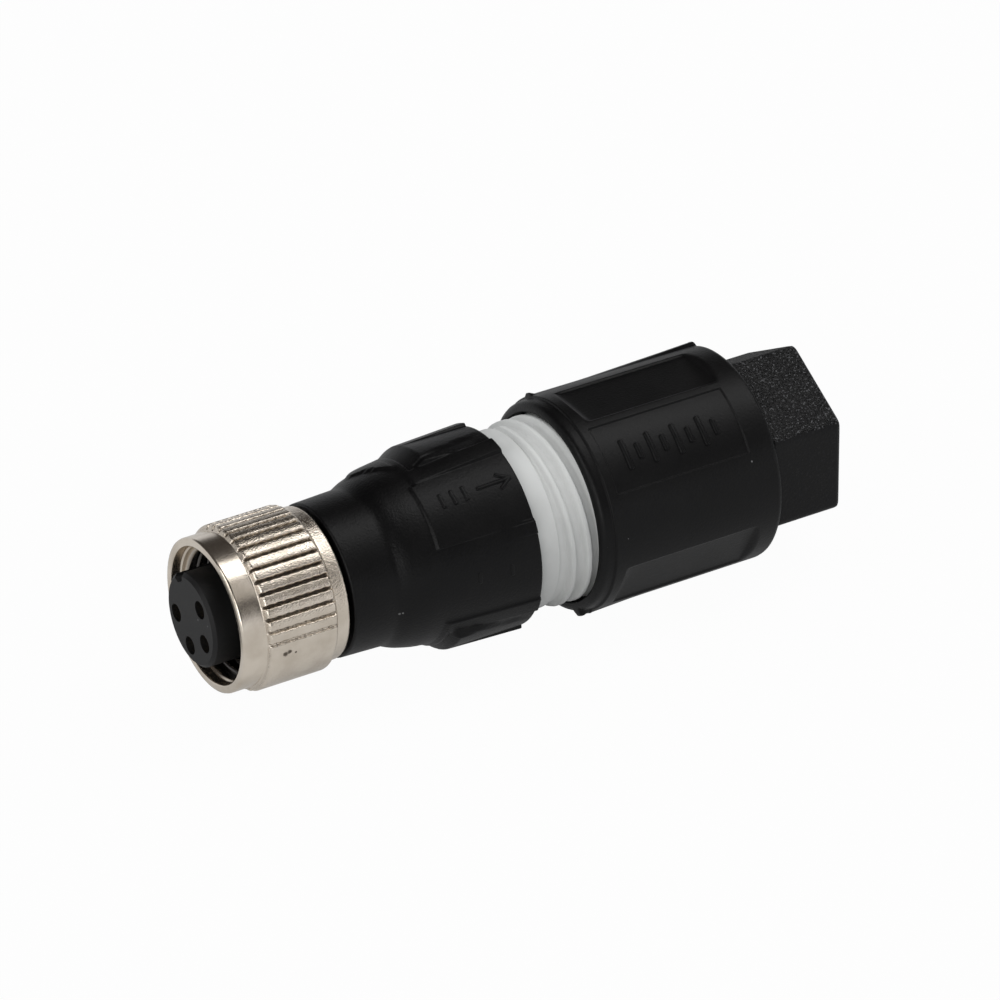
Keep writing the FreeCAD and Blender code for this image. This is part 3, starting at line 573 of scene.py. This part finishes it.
# Inner thread: a helical ridge whose section is a triangle with a flat crest, and which runs
# out to almost nothing at both ends
def nutThread():
    size = threadSizes
    turns, root = size["turns"], size["root"]
    turn = np.linspace(0, turns, int(turns * size["stepsPerTurn"]) + 1)[:, None]
    section = np.array([
        (-size["half"], root), (-size["flat"], size["crest"]), (size["flat"], size["crest"]),
        (size["half"], root)])
    fade = np.minimum(1, np.minimum(turn, turns - turn) / size["runOut"])
    height = size["endHeight"] + (1 - size["endHeight"]) * fade
    x = size["start"] + size["lead"] * turn + section[None, :, 0]
    r = root + (section[None, :, 1] - root) * height
    points = wrapRound(x, r, 360.0 * turn)
    rows, columns = points.shape[:2]
    last = rows * columns - 1
    caps = np.array([[0, 1, 2, 3], [last, last - 1, last - 2, last - 3]])
    faces = gridFaces(rows, columns, closeRows=False)
    return meshFrom("nutThread", points, np.concatenate((faces, caps)))


paintPiece(nutThread(), nickel, "coupling")
print("coupling nut made")

bodySizes = {
    "tubeFront": 7.6, "tubeRadius": 5.1, "tubeBore": 4.28, "neckStart": 10.8, "neckRadius": 6.95,
    "insertBore": 5.53, "insertFrom": 12.0, "innerBore": 6.2, "innerFrom": 14.6,
    "sleeveBore": 7.42, "sleeveFrom": 22.0,
    "coneStart": 19.6, "coneRadius": 8.2, "end": 28.2, "endRadius": 9.2, "rearEdge": 28.0,
    "skinStart": 11.1, "skinStep": 18.0, "skinRadius": (6.5, 7.8), "rimStart": 27.5,
    "crease": 0.09, "softCrease": 0.03, "widest": 80.0, "leastRadius": 8.0,
    "railStart": 19.3, "railRamp": 0.3, "railWidth": 1.35, "railHeight": 0.2,
    "wingRadius": 9.1, "rampLip": 0.12, "stripFront": 4.3, "stripRear": 3.6, "stripDepth": 0.13,
    "stripStart": (0.4, 0.7), "stripFloor": 0.08,
    "crestHalf": 1.03, "crestRadius": 9.36, "crestEase": 0.1, "crestStep": 0.03, "crestStart": 0.2,
    "panelStart": 19.0, "panelFrom": 135.0, "panelTo": 180.0, "panelEase": 0.3, "panelLip": 0.06,
    "panelFront": 8.34, "panelRear": 9.1,
    "ribTip": 16.0, "ribEnd": 19.4, "ribHalf": 3.5, "ribHeight": 0.2, "ribEase": 0.22,
    "ribRise": 0.2, "ribFall": 0.2,
    "nibFrom": 178.5, "nibTo": 187.0, "nibEase": 0.3, "nibStart": (27.2, 27.4), "nibHeight": 0.14,
}
# The ramp of each wing: its start, the radius there, its end, and half the wing's width there
# and at the rear edge
wingRamps = {90.0: (20.1, 8.25, 21.6, 4.55, 5.25), 270.0: (20.0, 8.22, 20.85, 3.7, 4.9)}


# Radius of the plain cone that carries the wings and the panel
def bodyCone(x):
    size = bodySizes
    slope = (size["endRadius"] - size["coneRadius"]) / (size["end"] - size["coneStart"])
    return size["coneRadius"] + (x - size["coneStart"]) * slope


# Panel: a cone of its own between two angles
def addPanel(shape, x, angle):
    size = bodySizes
    share = (x - size["panelStart"]) / (size["end"] - size["panelStart"])
    panel = size["panelFront"] + (size["panelRear"] - size["panelFront"]) * share
    lip = size["panelLip"]
    inPanel = within(angle, size["panelFrom"], size["panelTo"], size["panelEase"])
    inPanel = inPanel * smoothStep(size["panelStart"] - lip, size["panelStart"] + lip, x)
    return shape + inPanel * (panel - shape)


# Wing: a straight ramp up to one radius, with a rail beside it, a sunk strip along each edge
# and a crest along its middle. Sideways is the distance from the wings' middle plane. Towards
# the rear the wing and the sunk strips grow wider, and the crest keeps its width.
def addWing(shape, x, base, sideways, ramp):
    size = bodySizes
    start, startRadius, end, frontHalf, rearHalf = ramp
    crease, softCrease, ease = size["crease"], size["softCrease"], size["crestEase"]
    along = np.clip((x - start) / (size["end"] - start), 0, 1)
    half = frontHalf + (rearHalf - frontHalf) * along
    rail = smoothStep(size["railStart"], size["railStart"] + size["railRamp"], x) * size["railHeight"]
    inRail = below(sideways, half + size["railWidth"], crease)
    shape = shape + inRail * (base + rail - shape)
    rising = startRadius + (x - start) * (size["wingRadius"] - startRadius) / (end - start)
    wing = softMin(softMax(base, rising, softCrease), size["wingRadius"], softCrease)
    strip = size["stripFront"] + (size["stripRear"] - size["stripFront"]) * along
    first, full = size["stripStart"]
    inStrip = smoothStep(strip - crease, strip + crease, sideways)
    inStrip = inStrip * smoothStep(start + first, start + full, x)
    wing = np.maximum(wing - size["stripDepth"] * inStrip, base - size["stripFloor"])
    inWing = below(sideways, half, crease) * smoothStep(start - size["rampLip"], start, x)
    shape = shape + inWing * (wing - shape)
    crest = size["crestStep"] * smoothStep(end - size["crestStart"], end, x)
    slope = (size["crestRadius"] - size["wingRadius"]) / (size["rearEdge"] - end)
    crest = crest + slope * np.clip(x - end, 0, size["rearEdge"] - end)
    return shape + below(sideways, size["crestHalf"], ease) * crest


# Rib: a shallow facet on the flare, pointed in front, which widens up to the upper wing
def addRib(shape, x, sideways):
    size = bodySizes
    share = np.clip((x - size["ribTip"]) / (size["ribEnd"] - size["ribTip"]), 0, 1)
    rib = below(sideways, size["ribHalf"] * share, size["ribEase"])
    rib = rib * smoothStep(0, size["ribRise"], share) * below(x, size["ribEnd"], size["ribFall"])
    return shape + size["ribHeight"] * rib


# Nib: a low step at the rear edge, under the panel's lower corner
def addNib(shape, x, angle):
    size = bodySizes
    nib = within(angle, size["nibFrom"], size["nibTo"], size["nibEase"])
    return shape + size["nibHeight"] * nib * smoothStep(*size["nibStart"], x)


def bodySkin(x, base, angle):
    size = bodySizes
    shape = addPanel(base, x, angle)
    for centre, ramp in wingRamps.items():
        away = turnAway(angle, centre, size["widest"])
        sideways = np.maximum(base, size["leastRadius"]) * np.sin(away)
        shape = addWing(shape, x, base, sideways, ramp)
        shape = addRib(shape, x, sideways) if centre == 90.0 else addNib(shape, x, angle)
    return shape


# Only the outer skin is shaped, and the small rounding of the rear rim is kept
def bodyRadius(x, r, angle):
    size = bodySizes
    frontLimit, rearLimit = size["skinRadius"]
    onSkin = (r > np.where(x > size["skinStep"], rearLimit, frontLimit)) & (x > size["skinStart"])
    rim = np.where(x > size["rimStart"], np.minimum(r - bodyCone(x), 0.0), 0.0)
    return np.where(onSkin, bodySkin(x, r - rim, angle) + rim, r)


def bodyOutline():
    size = bodySizes
    return roundedOutline([
        (size["tubeFront"], size["tubeBore"], 0.1),
        (size["tubeFront"], size["tubeRadius"], 0.15, 1.0),
        (size["neckStart"], size["tubeRadius"], 0.05, 0.6),
        (size["neckStart"], size["neckRadius"], 0.18, 0.4),
        (15.1, 7.1, 0.25, 0.2),
        (16.2, 7.6, 0.35, 0.14),
        (17.7, 7.98, 0.5, 0.12),
        (size["coneStart"], size["coneRadius"], 0.3, 0.12),
        (22.2, bodyCone(22.2), 0.0, 0.4),
        (size["end"], size["endRadius"], 0.16, 0.4),
        (size["end"], size["sleeveBore"], 0.1, 1.5),
        (size["sleeveFrom"], size["sleeveBore"], 0.05, 0.6),
        (size["sleeveFrom"], size["innerBore"], 0.05, 2.0),
        (size["innerFrom"], size["innerBore"], 0.05, 0.6),
        (size["innerFrom"], size["insertBore"], 0.05, 1.5),
        (size["insertFrom"], size["insertBore"], 0.05, 0.6),
        (size["insertFrom"], size["tubeBore"], 0.05, 1.5),
    ], steps=2)


# Close columns at the wings' walls, the crests' edges, the panel's edges, the nib and the rib
def bodyAngles():
    walls = [(middle + side, 11.0, 0.35) for middle in wingRamps for side in (-40, 40)]
    crests = [(middle + side, 1.5, 0.3) for middle in wingRamps for side in (-7, 7)]
    edges = [(135, 0.8, 0.2), (180, 2.2, 0.2), (187, 0.8, 0.2)]
    return spreadAngles(2.0, walls + crests + edges + [(90, 22.0, 0.5)])


shell = turnedPiece("bodyShell", bodyOutline(), bodyAngles(), bodyRadius)
paintPiece(shell, blackSkin, "housing")
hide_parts("front_body")

markSizes = {
    "width": 0.38, "height": 0.13, "radius": 8.9, "bars": (20.9, 22.0, 23.1), "low": 148.0, "high": 158.0,
    "shaft": (24.2, 27.5), "middle": 153.0, "headLength": 1.2, "headAngle": 4.6,
    "faintHeight": 0.05, "faintBars": (22.4, 25.4), "faintFrom": 200.5, "faintTo": 207.5,
}


# Raised marks on the panel: three bars and an arrow towards the cable end, and two faint bars
# below the panel. They stand on the skin over the plain cone.
def bodyMarks():
    size = markSizes
    tail, tip = size["shaft"]
    middle, back, turn = size["middle"], size["headLength"], size["headAngle"]
    lines = [[(x, size["low"]), (x, size["high"])] for x in size["bars"]]
    lines.append([(tail, middle), (tip, middle)])
    lines.append([(tip - back, middle - turn), (tip, middle), (tip - back, middle + turn)])
    faint = [[(x, size["faintFrom"]), (x, size["faintTo"])] for x in size["faintBars"]]
    marks = [(line, size["height"]) for line in lines] + [(line, size["faintHeight"]) for line in faint]

    def surface(x, angle):
        return bodySkin(x, bodyCone(x), angle)

    return beadPiece("bodyMarks", [
        wrappedBead(markLine(line, size["radius"]), surface, size["width"], height)
        for line, height in marks])


paintPiece(bodyMarks(), blackSkin, "housing")
print("front body made")

sleeveSizes = {
    "start": 22.03, "end": 42.0, "bore": 6.23, "spigotRadius": 7.37, "plainStart": 28.2,
    "plainEnd": 30.55, "radius": 8.2, "core": 8.0, "coreSink": 0.1, "tip": 0.4,
    "crest": 8.5, "crestHalf": 0.2, "rootHalf": 0.52, "lead": 3.2, "startAngle": 100.0,
    "threadStart": 30.84, "threadEnd": 40.44, "threadEase": 0.06, "crease": 0.06, "creaseLift": 0.012,
    "outside": 7.5, "keepAll": 7.9, "keepOne": 4,
}


# Two-start thread: ridge centres lie at start + lead (angle - first) / 360, every half lead,
# none before the first; a ridge is a trapezium of height by distance from its centre
def sleeveRadius(x, r, angle):
    size = sleeveSizes
    pitch = size["lead"] / 2
    along = x - size["threadStart"] - size["lead"] * (angle - size["startAngle"]) / 360
    away = (along + pitch / 2) % pitch - pitch / 2
    share = np.clip((size["rootHalf"] - np.abs(away)) / (size["rootHalf"] - size["crestHalf"]), 0, 1)
    share = share * within(x - away, size["threadStart"], size["threadEnd"], size["threadEase"])
    floor = size["core"] - size["coreSink"]
    ridge = floor + share * (size["crest"] - floor)
    return np.where(r > size["outside"], softMax(r, ridge, size["crease"]) - size["creaseLift"], r)


# The bore needs only one in four of the rows that the thread needs
def sleeveOutline():
    size = sleeveSizes
    outline = roundedOutline([
        (size["start"], size["bore"], 0.1),
        (size["start"], size["spigotRadius"], 0.1),
        (size["plainStart"], size["spigotRadius"], 0.02),
        (size["plainStart"], size["radius"], 0.05),
        (size["plainEnd"], size["radius"], 0.08),
        (size["plainEnd"] + 0.05, size["core"], 0.05),
        (size["end"] - size["tip"], size["core"], 0.1),
        (size["end"], size["core"] - size["tip"], 0.1),
        (size["end"], size["bore"], 0.1),
    ], spacing=0.1)
    number = np.arange(len(outline))
    return outline[(outline[:, 1] > size["keepAll"]) | (number % size["keepOne"] == 0)]


sleeve = turnedPiece("threadedSleeve", sleeveOutline(), spreadAngles(1.0), sleeveRadius)
paintPiece(sleeve, lightGrey, "housing")
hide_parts("threaded_sleeve")
print("threaded sleeve made")

gripSizes = {
    "front": 34.1, "rear": 52.5, "radius": 9.85, "skinRadius": 8.9, "bore": 8.65, "neck": 7.25,
    "rimFront": 46.0, "rimTop": 46.6, "rimRear": 47.2, "rimRadius": 8.2,
    "chamberEnd": 49.6, "chamberRadius": 7.2, "coneStart": 52.0, "coneRadius": 6.4,
    "coneEnd": 55.3, "coneSmall": 6.05, "cableBore": 4.0, "mouthStart": 59.6, "mouthRadius": 4.5,
    "hexStart": 53.1, "hexEnd": 60.1, "flats": 15.0, "hexOutline": 8.6, "cornerPower": 50.0,
    "hexFront": 0.2, "hexFrontRing": (7.3, 8.0), "hexRing": (4.6, 7.0),
    "scoopStart": 36.7, "scoopEnd": 49.9, "scoopFloor": 9.3, "scoopHalf": 2.7, "scoopAngle": 31.0,
    "wall": 40.0, "scoopWidest": 45.0, "leastLean": 0.02, "wallCrease": 0.04, "endCrease": 0.25,
    "scoopRim": 0.05, "labelStart": 36.25, "labelEnd": 49.8, "labelFrom": 142.0, "labelTo": 180.0,
    "labelDepth": 0.17, "labelEase": 0.3, "labelEndEase": 0.05,
    "ridgeEdge": (0.25, 0.85), "ridgeWidest": 80.0,
    # Places along the skin, and the spacing of the rows from each on
    "skinRows": [(36.15, 0.05), (36.35, 0.25), (37.6, 0.8), (49.0, 0.25), (49.7, 0.05), (49.9, 0.25)],
}
# Height of each parting ridge along x
partingRidges = {
    90.0: [(35.2, 0.0), (35.35, 0.30), (35.9, 0.05), (41.0, 0.03), (49.0, 0.24), (52.1, 0.34),
           (52.5, 0.46)],
    270.0: [(34.15, 0.0), (34.3, 0.55), (34.6, 0.50), (35.5, 0.16), (40.0, 0.02), (52.0, 0.02),
            (52.5, 0.0)],
}


# Scoop: the highest of its floor plane, its two side walls and its two end walls
def scoopRadius(x, angle, centre):
    size = gripSizes
    slope = math.tan(math.radians(size["wall"]))
    away = turnAway(angle, centre, size["scoopWidest"])
    floor = size["scoopFloor"] / np.cos(away)
    leaning = np.maximum(np.cos(away) * slope - np.sin(away), size["leastLean"])
    side = (size["scoopFloor"] * slope - size["scoopHalf"]) / leaning
    past = np.maximum(size["scoopStart"] - x, x - size["scoopEnd"])
    end = (size["scoopFloor"] + past / slope) / np.cos(away)
    return softMax(softMax(floor, side, size["wallCrease"]), end, size["endCrease"])


# The grip is never above a scoop. The label panel is sunk, and low strips with pointed ends
# run along the mould's parting line.
def gripSkin(x, base, angle):
    size = gripSizes
    shape = base
    for centre in partingRidges:
        for turn in (-size["scoopAngle"], size["scoopAngle"]):
            shape = softMin(shape, scoopRadius(x, angle, centre + turn), size["scoopRim"])
    inLabel = within(angle, size["labelFrom"], size["labelTo"], size["labelEase"])
    inLabel = inLabel * within(x, size["labelStart"], size["labelEnd"], size["labelEndEase"])
    shape = shape - size["labelDepth"] * inLabel
    for centre, ridge in partingRidges.items():
        sideways = size["radius"] * np.sin(turnAway(angle, centre, size["ridgeWidest"]))
        place, height = np.array(ridge).T
        lift = np.interp(x, place, height) * (x <= size["rear"] + 0.01)
        shape = shape + lift * (1 - smoothStep(*size["ridgeEdge"], sideways))
    return shape


# Hexagon: 7.5 / (sum of cos^p to each flat)^(1/p), which rounds the corners. Its outline rows
# and those of its faces are scaled by it, down to a ring inside which they stay round.
def gripRadius(x, r, angle):
    size = gripSizes
    power = size["cornerPower"]
    total = 0
    for flat in range(6):
        total = total + np.maximum(np.cos(np.radians(angle - 30 - 60 * flat)), 0) ** power
    hexagon = size["flats"] / 2 * total ** (-1 / power)
    onFront = x < size["hexStart"] + size["hexFront"]
    share = np.where(onFront, smoothStep(*size["hexFrontRing"], r), smoothStep(*size["hexRing"], r))
    scaled = r * (1 + (hexagon / size["hexOutline"] - 1) * share)
    onGrip = (r > size["skinRadius"]) & (x < size["rear"] + 0.01)
    onHex = (x > size["hexStart"] - 0.01) & (r > size["hexRing"][0])
    return np.where(onGrip, gripSkin(x, r, angle), np.where(onHex, scaled, r))


def gripOutline():
    size = gripSizes
    front, radius, bore = size["front"], size["radius"], size["bore"]
    return roundedOutline([
        (front, bore + 0.1, 0.06),
        (front, 9.1, 0.15),
        (front + 0.3, 9.55, 0.3),
        (front + 1.14, 9.66, 0.04, 0.1),
        (front + 1.24, radius, 0.08, 0.14),
        *[(x, radius, 0.0, spacing) for x, spacing in size["skinRows"]],
        (size["rear"], radius, 0.4),
        (size["rear"], size["neck"], 0.05, 0.8),
        (size["hexStart"], size["neck"], 0.05, 0.5),
        (size["hexStart"], size["hexOutline"], 0.15, 1.2),
        (size["hexEnd"], size["hexOutline"], 0.4, 1.0),
        (size["hexEnd"], size["mouthRadius"], 0.3),
        (size["mouthStart"], size["cableBore"], 0.05, 3.0),
        (size["coneEnd"], size["cableBore"], 0.05, 3.0),
        (size["coneEnd"], size["coneSmall"], 0.05, 2.0),
        (size["coneStart"], size["coneRadius"], 0.05, 2.0),
        (size["chamberEnd"], size["chamberRadius"], 0.05, 1.0),
        (size["chamberEnd"], bore, 0.05, 2.0),
        (size["rimRear"], bore, 0.0),
        (size["rimRear"], size["rimRadius"], 0.0),
        (size["rimTop"], size["rimRadius"], 0.0),
        (size["rimFront"], bore, 0.05, 3.0),
        (front + 0.15, bore, 0.05),
    ])


# Close columns at the parting ridges, the hexagon's corners, the scoops' walls and the label
def gripAngles():
    ridges = [(middle, 7.0, 0.35) for middle in partingRidges]
    corners = [(60 * k, 4.0, 0.5) for k in range(6)]
    walls = [(middle + side, 3.0, 0.5) for middle in (59, 121, 239, 301) for side in (-18.5, 18.5)]
    edges = [(gripSizes["labelFrom"], 0.8, 0.2), (gripSizes["labelTo"], 0.8, 0.2)]
    return spreadAngles(2.0, ridges + corners + walls + edges)


grip = turnedPiece("gripNut", gripOutline(), gripAngles(), gripRadius)
paintPiece(grip, blackGrip, "pressing")
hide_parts("pressure_nut")

labelSizes = {
    "width": 0.52, "height": 0.2, "radius": 9.7, "bars": 8, "firstBar": 38.4, "barGap": 1.3,
    "long": (153.0, 170.0), "short": (157.0, 166.0),
}


# Raised marks in the sunk label panel: a row of upright bars, long and short by turns
def labelMarks():
    size = labelSizes
    beads = []

    def surface(x, angle):
        return gripSkin(x, gripSizes["radius"] + 0 * x, angle)

    for k in range(size["bars"]):
        x = size["firstBar"] + k * size["barGap"]
        low, high = size["short"] if k % 2 else size["long"]
        line = markLine([(x, low), (x, high)], size["radius"])
        beads.append(wrappedBead(line, surface, size["width"], size["height"]))
    return beadPiece("labelMarks", beads)


paintPiece(labelMarks(), blackGrip, "pressing")
print("pressure nut made")

nodePaints = {
    "nut_snap_ring": spring, "contact_insert": blackFace, "ring_seal": rubber,
    "terminal_block": innerBlack, "wire_guide": innerWhite, "cable_seal": rubber,
    "clamp_cage": innerGrey, "slip_ring": innerWhite, "coupling_nut": nickel,
    "front_body": blackSkin, "threaded_sleeve": lightGrey, "pressure_nut": blackGrip,
}
for name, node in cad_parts.items():
    material = nodePaints.get(name) or (gold if name.startswith("socket") else tin)
    node.data.materials.clear()
    node.data.materials.append(material)

# Angles are degrees, lengths millimetres, and right and up shift the place that it looks at
cameraFacts = {
    "azimuth": -30.9, "elevation": 31.9, "distance": 521.008, "right": 25.196, "up": 9.92,
    "lens": 219.6, "sensor": 36.0, "nearest": 10.0, "furthest": 20000.0,
}


def placeCamera():
    facts = cameraFacts
    around = math.radians(facts["azimuth"])
    above = math.radians(facts["elevation"])
    back = np.array([
        math.sin(around) * math.cos(above), -math.cos(around) * math.cos(above), math.sin(above)])
    right = np.array([math.cos(around), math.sin(around), 0.0])
    up = np.cross(back, right)
    data = bpy.data.cameras.new("camera")
    data.lens = facts["lens"]
    data.sensor_width = facts["sensor"]
    data.clip_start = facts["nearest"] * mm
    data.clip_end = facts["furthest"] * mm
    camera = bpy.data.objects.new("camera", data)
    camera.location = (back * facts["distance"] + right * facts["right"] + up * facts["up"]) * mm
    camera.rotation_euler = (math.pi / 2 - above, 0.0, around)
    bpy.context.scene.collection.objects.link(camera)
    bpy.context.scene.camera = camera


placeCamera()

# Lengths and places from here on are metres
floorFacts = {"half": 2.0, "gap": 0.00002, "colour": (0.45, 0.45, 0.45, 1), "rough": 0.9,
              "glow": 0.97, "glossyShare": 0.33}


# The floor glows white for the camera and less in reflections, and keeps the object's shadow
def makeFloor():
    facts = floorFacts
    half = facts["half"]
    level = -gripSizes["radius"] * mm - facts["gap"]
    corners = [(-half, -half, level), (half, -half, level), (half, half, level), (-half, half, level)]
    floor = newPiece("floor", np.array(corners), [[0, 1, 2, 3]])
    paint = Paint("paleFloor")
    paint.surface(Base_Color=facts["colour"], Roughness=facts["rough"])
    plain = Wire(paint, paint.shader.outputs[0])
    glow = paint.add("ShaderNodeEmission", inputs={"Color": (1, 1, 1, 1), "Strength": 1.0})
    mixed = paint.mixShader(paint.seenRays(facts["glossyShare"]) * facts["glow"], plain, glow)
    paint.join(paint.tree.nodes["Material Output"].inputs["Surface"], mixed)
    floor.data.materials.append(paint.material)


makeFloor()

# Each lamp's place, width, height and power, and the place that all of them point at
lamps = {
    "overhead": ((0.43, -0.01, 0.9), 0.42, 1.1, 3.9),
    "frontLeft": ((-0.75, -0.75, 0.40), 0.6, 0.6, 3.2),
    "frontRight": ((0.7, -0.8, 0.3), 0.4, 0.4, 0.5),
    "left": ((-0.76, 0.0, 0.5), 0.4, 0.4, 1.6),
    "frontTop": ((0.5, -0.52, 0.85), 1.1, 0.45, 0.8),
}
lampTarget = (0.03, 0.0, 0.0)


def addLamp(name, location, width, height, power):
    data = bpy.data.lights.new(name, "AREA")
    data.shape = "RECTANGLE"
    data.size = width
    data.size_y = height
    data.energy = power
    lamp = bpy.data.objects.new(name, data)
    lamp.location = location
    x, y, z = np.array(lampTarget) - np.array(location)
    lamp.rotation_euler = (math.pi / 2 + math.atan2(z, math.hypot(x, y)), 0.0, math.atan2(-x, y))
    bpy.context.scene.collection.objects.link(lamp)


for name, facts in lamps.items():
    addLamp(name, *facts)

studioFacts = {
    "pale": (0.70, 0.71, 0.73, 1), "dim": (0.035, 0.03, 0.027, 1), "rise": (0.10, 0.35),
    "light": (0.95, 0.97, 1.0, 1), "lightStrength": 0.54,
}


# The studio beyond the floor: pale near the horizon and dim overhead to the camera and in
# reflections, and evenly dim as a light
def makeStudio():
    facts = studioFacts
    world = bpy.data.worlds.new("studio")
    bpy.context.scene.world = world
    world.use_nodes = True
    sheet = NodeSheet(world.node_tree)
    light = sheet.tree.nodes["Background"]
    light.inputs["Color"].default_value = facts["light"]
    light.inputs["Strength"].default_value = facts["lightStrength"]
    height = sheet.parts("Generated")[2]
    colour = sheet.mixColour(sheet.step(height, *facts["rise"]), facts["pale"], facts["dim"])
    seen = sheet.add("ShaderNodeBackground", inputs={"Color": colour})
    mixed = sheet.mixShader(sheet.seenRays(1.0), Wire(sheet, light.outputs[0]), seen)
    sheet.join(sheet.tree.nodes["World Output"].inputs["Surface"], mixed)


makeStudio()
bpy.context.scene.view_settings.view_transform = "Standard"
print("camera, floor and lamps placed")
